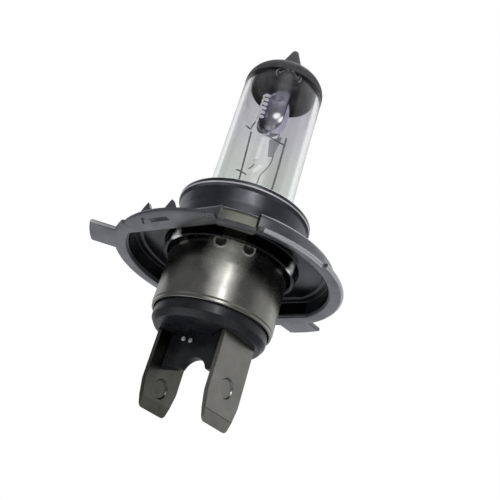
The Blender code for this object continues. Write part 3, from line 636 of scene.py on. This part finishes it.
def make_flange():
    """The stamped flange: neck, dish, skirt, rim, lugs, punched slots and two teeth."""
    bm = bmesh.new()
    columns = []
    for angle in flange_angles():
        bearing = math.radians(angle)
        section = flange_section(angle)
        across, up = math.cos(bearing), math.sin(bearing)
        columns.append([bm.verts.new((r * across, r * up, z)) for r, z in section])
    stitch(bm, columns, columns[1:] + columns[:1])
    slot = box_bm(SLOT_SIZE, at(0.8, 18.5, 0))
    slit = box_bm(SLIT_SIZE, at(4.2, 18.5, 0), SLIT_TURN)
    mesh = carved(bm, [slot, slit])
    teeth = shaded(joined(lance(-1), lance(1)), "teeth")
    whole = bmesh.new()
    whole.from_mesh(mesh)
    whole.from_mesh(teeth)
    final = shaded(whole, "flange", 38.0)
    made = piece("flange", final, ZINC, "flange_ring", POCKET_SHADE, NECK_SHADE_AND_HIGHLIGHT, NOTCH_SHADE, SHEARED_EDGE_AND_HIGHLIGHT)
    pocket, neck, notch, edge = 1, 2, 3, 4
    # Faces of the pocket under the dish, the neck and the notch wall get darker copies of the plate,
    # painted shade; the outer rim edge on one side gets a bright copy, partly painted highlight.
    for face in made.data.polygons:
        middle = face.center
        level = -middle.y
        radius = math.hypot(middle.x, middle.z)
        bearing = math.degrees(math.atan2(middle.z, middle.x))
        outward = (face.normal.x * middle.x + face.normal.z * middle.z) / radius
        if level < DISH_TOP - 0.35 * MM and radius < skirt_radius(bearing) - 0.3 * MM:
            face.material_index = neck if radius < NECK_RADIUS + 0.75 * MM else pocket
        on_notch = abs(turn_between(bearing, NOTCH_ANGLE)) < NOTCH_HALF_ANGLE
        if on_notch and outward > 0.6 and 0.1 * MM < level < DISH_TOP - 0.6 * MM:
            face.material_index = notch
        sheared = EDGE_HIGHLIGHT_FROM < bearing % 360.0 < EDGE_HIGHLIGHT_TO
        at_rim = level < 0.05 * MM and radius > rim_radius(bearing % 360.0) - 0.4 * MM
        if sheared and at_rim and outward > 0.3:
            face.material_index = edge


# ---------------------------------------------------------------- collar, shell, insulator, blades

def make_collar():
    """The cup on the flange with a waist and a rolled top edge."""
    foot = COLLAR_FOOT
    top = COLLAR_TOP
    outer = [
        (11.35 * MM, top - 1.2 * MM, 0),
        (11.45 * MM, top - 0.3 * MM, 0.3 * MM),
        (COLLAR_RADIUS - 0.75 * MM, top, 0.3 * MM),
        (COLLAR_RADIUS - 0.1 * MM, top - 0.05 * MM, 0.5 * MM),
        (COLLAR_RADIUS, top - 0.9 * MM, 0.5 * MM),
        (12.0 * MM, top - 1.5 * MM, 0.5 * MM),
        (11.8 * MM, top - 4.0 * MM, 3.0 * MM),
        (12.1 * MM, foot + 1.3 * MM, 1.0 * MM),
        (13.0 * MM, foot + 0.45 * MM, 0.5 * MM),
        (14.3 * MM, foot + 0.45 * MM, 0.15 * MM),
        (14.3 * MM, foot, 0.1 * MM),
        (11.8 * MM, foot, 0),
        (11.15 * MM, foot + 1.2 * MM, 0.5 * MM),
        (10.95 * MM, top - 4.0 * MM, 2.0 * MM),
    ]
    made = piece("collar", shaded(lathe(fillet(outer)), "collar"), COLLAR, "collar_ring", COLLAR_RIM_HIGHLIGHT)
    # Two rings on the rolled top edge get the near-white copy of the plate: painted highlight.
    for face in made.data.polygons:
        below_top = (top + face.center.y) / MM
        if below_top < 0.22 or 0.85 < below_top < 1.15:
            face.material_index = 1


WELD_MIDDLE = NOTCH_ANGLE + 1.9
WELD_HALF_ANGLE = 13.0
WELD_ANGLES = [WELD_MIDDLE + 120 * third + side * WELD_HALF_ANGLE for third in range(3) for side in (-1, 1)]
WELD_LEVEL = 0.25 * MM
WELD_RADIUS = 1.0 * MM
WELD_DEPTH = 0.42 * MM
WELD_RISE = 0.11 * MM
FINE_LEVEL = -1.65 * MM


def weld_distance(x, y, z):
    """How far a place on the shell is from the nearest weld dimple's middle, in dimple radii."""
    bearing = math.degrees(math.atan2(y, x))
    nearest = min(abs(turn_between(bearing, angle)) for angle in WELD_ANGLES)
    return math.hypot(math.radians(nearest) * SHELL_RADIUS, z - WELD_LEVEL) / WELD_RADIUS


def make_shell():
    """The cap shell with a rolled bottom edge and pairs of weld dimples with raised rims."""
    inside = SHELL_RADIUS - 0.5 * MM
    bottom = SHELL_BOTTOM
    lower = fillet([
        (inside, -2.0 * MM, 0),
        (inside, bottom, 0.1 * MM),
        (SHELL_RADIUS - 0.12 * MM, bottom, 0.22 * MM),
        (SHELL_RADIUS - 0.12 * MM, bottom + 0.55 * MM, 0.2 * MM),
        (SHELL_RADIUS, bottom + 0.8 * MM, 0.2 * MM),
        (SHELL_RADIUS, -2.0 * MM, 0),
    ])
    rows = [(SHELL_RADIUS, (-1.6 + 0.1 * step) * MM) for step in range(36)]
    upper = rows + [(SHELL_RADIUS, SHELL_TOP), (inside, SHELL_TOP)]
    bm = lathe(lower + upper, 540)
    for vert in bm.verts:
        x, y, z = vert.co
        radius = math.hypot(x, y)
        apart = weld_distance(x, y, z)
        if radius > SHELL_RADIUS - 0.05 * MM and z >= FINE_LEVEL and apart < 2.0:
            sink = -WELD_DEPTH * max(0.0, 1 - apart * apart)
            rise = WELD_RISE * math.exp(-((apart - 1.15) / 0.17) ** 2)
            scale = (radius + sink + rise) / radius
            vert.co.x *= scale
            vert.co.y *= scale
    made = piece("shell", shaded(bm, "shell", 50.0), NICKEL, "cap_shell", DIMPLE_SHADE, WELD_RIM_HIGHLIGHT)
    # Each dimple's middle gets the darker metal, painted shade, and its raised rim the pale one, painted
    # highlight.
    for face in made.data.polygons:
        x, y, z = face.center.x, face.center.z, -face.center.y
        if z < FINE_LEVEL or math.hypot(x, y) < SHELL_RADIUS - 0.45 * MM:
            continue
        apart = weld_distance(x, y, z)
        if apart < 0.92:
            face.material_index = 1
        elif apart < 1.25:
            face.material_index = 2


ARCH_MIDDLE = -0.4 * MM
ARCH_RADIUS = 2.95 * MM
ARCH_CENTRE_LEVEL = -20.35 * MM
WEB_MIDDLE = 0.9 * MM
WEB_HALF_THICKNESS = 0.85 * MM


def make_insulator():
    """The moulded insulator: a round body with slots for the blades, and an arched web between them."""
    top, bottom = -8.6 * MM, -13.4 * MM
    body = lathe(fillet([
        (0, top, 0),
        (INSULATOR_RADIUS, top, 0.2 * MM),
        (INSULATOR_RADIUS, bottom + 1.1 * MM, 0.5 * MM),
        (INSULATOR_RADIUS - 0.75 * MM, bottom, 0.4 * MM),
        (0, bottom, 0),
    ]), closed=False)
    slots = [box_bm((0.96 * MM, 8.7 * MM, 12 * MM), at(7 * side, 0, -10)) for side in (-1, 1)]
    mesh = carved(body, slots, 0.1 * MM)
    half = BLADE_IN - 0.08 * MM
    web_top = bottom + 0.4 * MM
    arch_left = ARCH_MIDDLE - ARCH_RADIUS
    arch_right = ARCH_MIDDLE + ARCH_RADIUS
    outline = [(half, web_top), (-half, web_top), (-half, WEB_BOTTOM), (arch_left, WEB_BOTTOM)]
    for step in range(25):
        angle = math.radians(160.0 - 140.0 * step / 24)
        across = ARCH_MIDDLE + ARCH_RADIUS * math.cos(angle)
        outline.append((across, ARCH_CENTRE_LEVEL + ARCH_RADIUS * math.sin(angle)))
    outline += [(arch_right, WEB_BOTTOM), (half, WEB_BOTTOM)]
    upright = Matrix(((1, 0, 0, 0), (0, 0, -1, WEB_MIDDLE), (0, 1, 0, 0), (0, 0, 0, 1)))
    web = carved(prism(outline, -WEB_HALF_THICKNESS, WEB_HALF_THICKNESS, upright), [], 0.15 * MM)
    whole = bmesh.new()
    whole.from_mesh(mesh)
    whole.from_mesh(web)
    piece("insulator_body", shaded(whole, "insulator_body"), BLACK, "insulator")


DETENT_LEVELS = {-1: -21.9 * MM, 1: -22.8 * MM}
BLADE_HALF_TIP = 3.2 * MM
BLADE_CORNER = 4.6 * MM
LEAD_IN = 2.0 * MM
LEAD_IN_SLOPE = 7.5


def make_blade(name, node, side, material, tip):
    """A spade contact with a tapered tip and a flat detent dimple in each face."""
    root = reach(node, 2, 1)
    half = BLADE_HALF
    middle = side * (BLADE_IN + BLADE_OUT) / 2
    thick = BLADE_OUT - BLADE_IN
    outline = fillet([
        (half, root, 0),
        (half, tip + BLADE_CORNER, 2.5 * MM),
        (BLADE_HALF_TIP, tip, 0.9 * MM),
        (-BLADE_HALF_TIP, tip, 0.9 * MM),
        (-half, tip + BLADE_CORNER, 2.5 * MM),
        (-half, root, 0),
    ])
    upright = Matrix(((0, 0, 1, middle), (1, 0, 0, 0), (0, 1, 0, 0), (0, 0, 0, 1)))
    body = prism(outline, -thick / 2, thick / 2, upright)
    cutters = []
    for face in (-1, 1):
        dimple = bmesh.new()
        bmesh.ops.create_cone(dimple, cap_ends=True, segments=64, radius1=1.5 * MM, radius2=2.1 * MM,
                              depth=0.7 * MM)
        outward = Matrix.Rotation(math.radians(90 * face), 4, "Y")
        bmesh.ops.transform(dimple, verts=dimple.verts, matrix=outward)
        shift = middle + face * (thick / 2 + 0.07 * MM)
        bmesh.ops.translate(dimple, verts=dimple.verts, vec=(shift, 0, DETENT_LEVELS[side]))
        cutters.append(dimple)
        wedge = box_bm((0.8 * MM, 20 * MM, 4.8 * MM), (face * 0.4 * MM, 0, -2.4 * MM))
        slope = Matrix.Rotation(math.radians(LEAD_IN_SLOPE * face), 4, "Y")
        bmesh.ops.transform(wedge, verts=wedge.verts, matrix=slope)
        bmesh.ops.translate(wedge, verts=wedge.verts, vec=(middle + face * thick / 2, 0, tip + LEAD_IN))
        cutters.append(wedge)
    piece(name, carved(body, cutters, bevel=0.07 * MM, angle=5.0, sharp=2.0), material, node)


# ---------------------------------------------------------------- glass

SHOULDER = 41.7 * MM
DOME_HEIGHT = 4.9 * MM
DOME_SPAN = 68.0
TIP_TAPER = ((2.2, 4.3, 0.8), (1.35, 2.1, 1.0), (0.65, 0.3, 0.4))
GLASS_WALL = 1.15 * MM
GLASS_MOUTH_RADIUS = 6.45 * MM
PAINT_INNER_GAP = 0.015 * MM
PAINT_OUTER_GAP = 0.05 * MM


def dome(radius, height, tip, count=26):
    """A dome's profile from the shoulder to the axis, with its drawn-out tip."""
    points = []
    for index in range(count + 1):
        angle = math.radians(DOME_SPAN * index / count)
        points.append((radius * math.cos(angle), SHOULDER + height * math.sin(angle)))
    cone = [(points[-1][0], points[-1][1], 0)]
    cone += [(width * MM, tip - below * MM, rounding * MM) for width, below, rounding in TIP_TAPER]
    return points + fillet(cone + [(0, tip, 0)])[1:]


def make_glass():
    """The clear tubular envelope, and the dark cap over its dome."""
    outer = list(reversed(dome(GLASS_RADIUS, DOME_HEIGHT - 0.08 * MM, TIP_END - 0.2 * MM)))
    outer += [(GLASS_RADIUS, (36 - 6 * step) * MM) for step in range(5)]
    outer += fillet([(GLASS_RADIUS, 9 * MM, 0), (GLASS_RADIUS, GLASS_BOTTOM + 1.0 * MM, 1 * MM),
                     (GLASS_RADIUS - 1.3 * MM, GLASS_BOTTOM, 0)])
    bore = GLASS_RADIUS - GLASS_WALL
    inner = [(GLASS_MOUTH_RADIUS, GLASS_BOTTOM), (GLASS_MOUTH_RADIUS, GLASS_BOTTOM + 1.4 * MM)]
    inner.append((bore, GLASS_BOTTOM + 2.8 * MM))
    inner += [(bore, (12 + 6 * step) * MM) for step in range(5)]
    for index in range(21):
        angle = math.radians(90.0 * index / 20)
        radius = bore * math.cos(angle) if index < 20 else 0
        inner.append((radius, SHOULDER + (DOME_HEIGHT - GLASS_WALL) * math.sin(angle)))
    tube_mesh = shaded(lathe(outer + inner, 224, closed=False), "envelope", 60)
    envelope = piece("envelope", tube_mesh, CLEAR, "glass_envelope", BORE_SHADE)
    # Inner faces get the darker glass: painted shade.
    for face in envelope.data.polygons:
        radius = math.hypot(face.center.x, face.center.z)
        inward = face.normal.x * face.center.x + face.normal.z * face.center.z < 0
        if inward and radius > bore - 0.1 * MM:
            face.material_index = 1
    skin_radius = GLASS_RADIUS + PAINT_OUTER_GAP
    under_radius = GLASS_RADIUS + PAINT_INNER_GAP
    outside = dome(skin_radius, DOME_HEIGHT, TIP_END)
    inside = dome(under_radius, DOME_HEIGHT - 0.05 * MM, TIP_END - 0.15 * MM)
    skin = list(reversed(outside)) + [(skin_radius, COATING_EDGE), (under_radius, COATING_EDGE)] + inside
    cap_mesh = shaded(lathe(skin, 224, closed=False), "dome_cap", 60)
    cap = piece("dome_cap", cap_mesh, PAINT, "anti_glare_cap", PAINT_INSIDE)
    shoulder = Vector((0, -SHOULDER, 0))
    for face in cap.data.polygons:
        if face.normal.dot(face.center - shoulder) < 0:
            face.material_index = 1


# ---------------------------------------------------------------- inside the glass

SHIELD_CENTRE = 1.2 * MM
SHIELD_RADIUS = 3.1 * MM
SHIELD_SHEET = 0.25 * MM
TAIL_LEVEL = -1.95 * MM
POST_RADIUS = 0.19 * MM
COMMON_RADIUS = 0.12 * MM
CROSS_RADIUS = 0.14 * MM
SLEEVE_RADIUS = 0.34 * MM


def coil(centre, bottom, top, radius, turns, wire, per_turn=20):
    """A bmesh of a coil along a line parallel to the bulb's axis."""
    count = turns * per_turn
    points = []
    for index in range(count + 1):
        angle = 2 * math.pi * index / per_turn
        height = bottom + (top - bottom) * index / count
        across = centre[0] + radius * math.cos(angle)
        up = centre[1] + radius * math.sin(angle)
        points.append((across, up, height))
    return tube(points, wire, 10)


def wire_piece(name, node, radius, points, material=WIRE):
    """A smooth round wire as a piece, through points in millimetres."""
    path = [at(*point) for point in points]
    piece(name, shaded(tube(path, radius, 14, 2), name, 60), material, node)


def make_inside():
    """The two coils, the posts, the cross wires and the crimped sleeve."""
    dipped = coil((1.0 * MM, 3.2 * MM), 32.2 * MM, 38.6 * MM, 0.52 * MM, 6, 0.2 * MM)
    piece("dipped_coil", shaded(dipped, "dipped_coil", 60), FILAMENT_GLOW, "dipped_beam_filament")
    main = coil((-0.05 * MM, 1.75 * MM), 22.9 * MM, 28.5 * MM, 0.34 * MM, 16, 0.13 * MM)
    piece("main_coil", shaded(main, "main_coil", 60), FILAMENT_GLOW, "main_beam_filament")
    wire_piece("dipped_post", "dipped_beam_post", POST_RADIUS,
               [(4, 0, 3), (4, 0, 10), (4.4, -0.1, 19.5), (5.1, 0.3, 32.0)])
    wire_piece("common_wire", "common_post", COMMON_RADIUS,
               [(0, 0, 3), (0, 0, 12), (-0.3, -0.3, 19.5), (-0.3, -0.3, 21.2),
                (-1.1, -1.1, 23.1), (-0.4, -2.45, 26.4), (0, -2.45, 37.5)])
    wire_piece("main_post", "main_beam_post", POST_RADIUS,
               [(-4, 0, 3), (-4, 0, 12), (-4.5, 0, 17.2), (-4.35, 0.15, 28.6)])
    wire_piece("dipped_cross", "dipped_beam_cross_wire", CROSS_RADIUS,
               [(5.9, 1.6, 32.9), (4.7, 0.9, 32.1), (3.3, 2.4, 31.2), (1.8, 3.2, 31.6)])
    wire_piece("main_cross", "main_beam_cross_wire", 0.15 * MM,
               [(-4.9, 0.45, 26.6), (-3.1, 1.4, 27.4), (-0.8, 1.75, 28.9)])
    wire_piece("post_stub", "dipped_post_stub", CROSS_RADIUS,
               [(5.3, 0.75, 22.4), (4.3, 0.6, 22.1), (3.7, -0.75, 22.0)])
    wire_piece("filament_leg", "main_filament_leg", COMMON_RADIUS,
               [(0.45, 1.45, 22.5), (0.8, 1.2, 22.1), (1.7, 1.1, 21.8)])
    wire_piece("crimp_sleeve", "filament_sleeve", SLEEVE_RADIUS,
               [(1.2, 0.3, 21.5), (-0.3, 0.1, 22.9)], SLEEVE_GLOW)


def make_shield():
    """The boat-shaped dip shield and its tapered tail, open toward the wide lug."""
    radius = SHIELD_RADIUS
    low, high = 30.0 * MM, 40.8 * MM
    profile = []
    for index in range(15):
        angle = math.radians(88.0 - 88.0 * index / 14)
        profile.append((radius * math.cos(angle), high - 0.6 * radius * (1 - math.sin(angle))))
    for index in range(15):
        angle = math.radians(88.0 * index / 14)
        profile.append((radius * math.cos(angle), low + radius * (1 - math.sin(angle))))
    section = sheet_section(profile, SHIELD_SHEET)
    bm = bmesh.new()
    columns = []
    steps = 48
    for step in range(steps + 1):
        angle = math.pi + math.pi * step / steps
        across, up = math.cos(angle), math.sin(angle)
        columns.append([bm.verts.new((r * across, SHIELD_CENTRE + r * up, z)) for r, z in section])
    stitch(bm, columns, columns[1:])
    bm.faces.new(columns[0])
    bm.faces.new(columns[-1])
    piece("shield", shaded(bm, "shield", 50), SHIELD, "dip_shield")
    tail = fillet([
        (1.5 * MM, 31.0 * MM, 0),
        (0.6 * MM, 26.6 * MM, 0.4 * MM),
        (-0.6 * MM, 26.6 * MM, 0.4 * MM),
        (-1.5 * MM, 31.0 * MM, 0),
    ])
    upright = Matrix(((1, 0, 0, 0), (0, 0, -1, TAIL_LEVEL), (0, 1, 0, 0), (0, 0, 0, 1)))
    piece("tail", shaded(prism(tail, -0.12 * MM, 0.12 * MM, upright), "tail"), TAIL, "shield_tail")


def finish_nodes():
    """Give every carried-over CAD node its material."""
    for name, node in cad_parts.items():
        for slot in node.material_slots:
            slot.material = FINISHES.get(name, WIRE)


# ---------------------------------------------------------------- studio

# Each soft light in the surroundings: direction, half-angle where it is full,
# half-angle where it ends, strength.
LOBES = (
    ((-0.59, -0.44, 0.68), 5.0, 27.0, 1.1),
    ((0.88, -0.44, -0.17), 8.0, 34.0, 0.45),
    ((0.14, -0.44, -0.89), 10.0, 45.0, 0.45),
    ((0.59, 0.44, -0.68), 10.0, 45.0, 0.30),
    ((-0.59, -0.44, -0.68), 10.0, 40.0, 0.28),
    ((-0.75, 0.62, 0.20), 10.0, 40.0, 0.25),
    ((0.30, 0.80, 0.52), 10.0, 40.0, 0.60),
    ((0.20, -0.93, -0.30), 6.0, 30.0, 1.2),
)
BASE_GLOW = 0.16


def studio():
    """White surroundings, seen straight and through the glass, and soft lights that metal reflects."""
    world = bpy.data.worlds.new("studio")
    bpy.context.scene.world = world
    world.use_nodes = True
    tree = world.node_tree
    coords = tree.nodes.new("ShaderNodeTexCoord")
    total = None
    for direction, full, end, strength in LOBES:
        dot = tree.nodes.new("ShaderNodeVectorMath")
        dot.operation = "DOT_PRODUCT"
        dot.inputs[1].default_value = Vector(direction).normalized()
        tree.links.new(coords.outputs["Generated"], dot.inputs[0])
        lobe = tree.nodes.new("ShaderNodeMapRange")
        lobe.interpolation_type = "SMOOTHSTEP"
        lobe.inputs["From Min"].default_value = math.cos(math.radians(end))
        lobe.inputs["From Max"].default_value = math.cos(math.radians(full))
        lobe.inputs["To Min"].default_value = 0.0
        lobe.inputs["To Max"].default_value = strength
        tree.links.new(dot.outputs["Value"], lobe.inputs["Value"])
        added = tree.nodes.new("ShaderNodeMath")
        added.operation = "ADD"
        added.inputs[1].default_value = BASE_GLOW
        if total is not None:
            tree.links.new(total, added.inputs[1])
        tree.links.new(lobe.outputs["Result"], added.inputs[0])
        total = added.outputs["Value"]
    mirrored = tree.nodes["Background"]
    mirrored.inputs["Color"].default_value = (0.97, 0.98, 1.0, 1)
    tree.links.new(total, mirrored.inputs["Strength"])
    plain = tree.nodes.new("ShaderNodeBackground")
    plain.inputs["Color"].default_value = (1, 1, 1, 1)
    plain.inputs["Strength"].default_value = 1.0
    path = tree.nodes.new("ShaderNodeLightPath")
    mix = tree.nodes.new("ShaderNodeMixShader")
    tree.links.new(path.outputs["Glossy Depth"], mix.inputs["Fac"])
    tree.links.new(plain.outputs["Background"], mix.inputs[1])
    tree.links.new(mirrored.outputs["Background"], mix.inputs[2])
    tree.links.new(mix.outputs["Shader"], tree.nodes["World Output"].inputs["Surface"])
    world.cycles.sampling_method = "NONE"
    bpy.context.scene.view_settings.view_transform = "Standard"


def area_light(name, place, size, power):
    """A square softbox aimed at the bulb."""
    light = bpy.data.lights.new(name, "AREA")
    light.shape = "SQUARE"
    light.size = size
    light.energy = power
    lamp = bpy.data.objects.new(name, light)
    lamp.location = place
    lamp.rotation_euler = (-Vector(place)).to_track_quat("-Z", "Y").to_euler()
    bpy.context.scene.collection.objects.link(lamp)


def make_floor():
    """A plain pale floor well below the bulb."""
    bm = bmesh.new()
    bmesh.ops.create_grid(bm, x_segments=8, y_segments=8, size=FLOOR_HALF_SIZE)
    mesh = bpy.data.meshes.new("floor")
    bm.to_mesh(mesh)
    bm.free()
    material, tree, shader = node_material("floor_paint")
    tree.nodes.remove(shader)
    glow = tree.nodes.new("ShaderNodeEmission")
    glow.inputs["Color"].default_value = (1, 1, 1, 1)
    tree.links.new(glow.outputs["Emission"], tree.nodes["Material Output"].inputs["Surface"])
    mesh.materials.append(material)
    floor = bpy.data.objects.new("floor", mesh)
    floor.location.z = FLOOR_HEIGHT
    floor.visible_glossy = False
    bpy.context.scene.collection.objects.link(floor)


def camera():
    """The camera at the photographed viewing angle."""
    data = bpy.data.cameras.new("camera")
    data.lens = CAMERA_LENS
    data.sensor_width = 36.0
    data.clip_start = 0.005
    holder = bpy.data.objects.new("camera", data)
    forward = Vector(CAMERA_FORWARD).normalized()
    up = Vector(CAMERA_UP).normalized()
    right = forward.cross(up)
    turn = Matrix((right, up, -forward)).transposed()
    holder.matrix_world = Matrix.Translation(CAMERA_PLACE) @ turn.to_4x4()
    bpy.context.scene.collection.objects.link(holder)
    bpy.context.scene.camera = holder


finish_nodes()
make_flange()
make_collar()
make_shell()
make_insulator()
make_blade("main_blade", "contact_blade_main", -1, BLADE, reach("contact_blade_main", 2, 0))
# The dipped blade gets the darker blade metal: painted shade.
make_blade("dipped_blade", "contact_blade_dipped", 1, SHADED_BLADE, reach("contact_blade_dipped", 2, 0))
make_glass()
make_inside()
make_shield()
make_floor()
studio()
area_light("spark", (-0.30, -0.12, 0.30), 0.03, 0.09)
camera()
